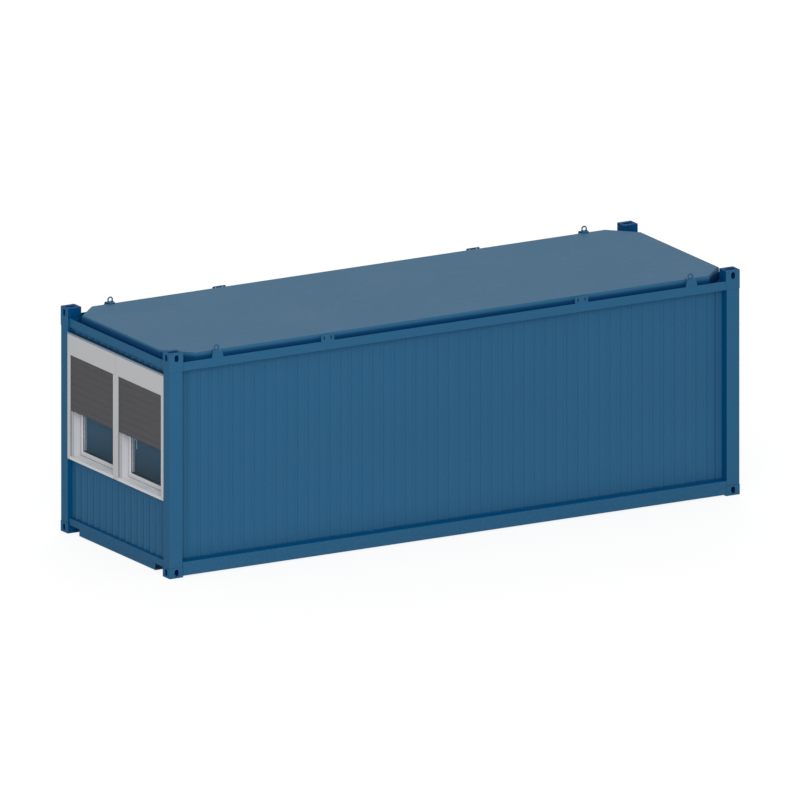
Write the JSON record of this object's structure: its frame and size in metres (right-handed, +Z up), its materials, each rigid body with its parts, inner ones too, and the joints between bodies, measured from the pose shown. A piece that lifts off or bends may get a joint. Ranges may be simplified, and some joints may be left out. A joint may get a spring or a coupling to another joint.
{
  "type": "shipping container cabin",
  "caption": "Steel-framed portable site cabin with ribbed blue walls, corner castings, a twin window with half-lowered roller shutters and a door at the far end",
  "frame": {"origin": "on the ground under the middle of the cabin, the centre of the bottom of its bounding box", "axes": "+X along the length from the window end to the door end, +Y across from the long side seen in the picture to the hidden one, +Z up"},
  "size_m": [7.335, 2.435, 2.622],
  "materials": {
    "frame_paint": "satin blue paint on rolled steel",
    "casting_paint": "satin blue paint on rough cast steel",
    "wall_paint": "coil coated blue sheet, satin",
    "roof_paint": "coil coated blue sheet, satin",
    "galvanised": "galvanised sheet, dull",
    "floor_vinyl": "speckled grey sheet vinyl on board",
    "lining": "off-white lining, matt",
    "window_plastic": "white window plastic, semi-gloss",
    "glazing": "clear double glazing with a faint blue tint",
    "shutter_slats": "dark grey shutter slats, matt",
    "handle_metal": "satin anodised aluminium",
    "door_paint": "satin blue paint on steel sheet"
  },
  "bodies": {
    "root": {"bottom_castings": "casting_paint", "ceiling": "lining", "door_frame": "door_paint", "door_handles": "handle_metal", "door_hinges": "handle_metal", "door_leaf": "door_paint", "floor_beams": "galvanised", "floor_board": "floor_vinyl", "floor_pan": "galvanised", "floor_rail_back": "frame_paint", "floor_rail_door_end": "frame_paint", "floor_rail_front": "frame_paint", "floor_rail_window_end": "frame_paint", "lifting_eyes": "frame_paint", "post_door_back": "frame_paint", "post_door_front": "frame_paint", "post_window_back": "frame_paint", "post_window_front": "frame_paint", "roof_bows": "galvanised", "roof_corner_boxes": "frame_paint", "roof_rail_back": "frame_paint", "roof_rail_door_end": "frame_paint", "roof_rail_front": "frame_paint", "roof_rail_window_end": "frame_paint", "roof_sheet": "roof_paint", "shutter_box": "window_plastic", "shutter_curtains": "shutter_slats", "shutter_guides": "window_plastic", "slotted_brackets": "frame_paint", "top_castings": "casting_paint", "wall_back": "wall_paint", "wall_door_back": "wall_paint", "wall_door_front": "wall_paint", "wall_front": "wall_paint", "wall_over_door": "wall_paint", "wall_over_window": "wall_paint", "wall_under_window": "wall_paint", "window_frame": "window_plastic", "window_handles": "handle_metal", "window_panes": "glazing", "window_sashes": "window_plastic", "window_sill": "window_plastic"}
  },
  "joints": []
}
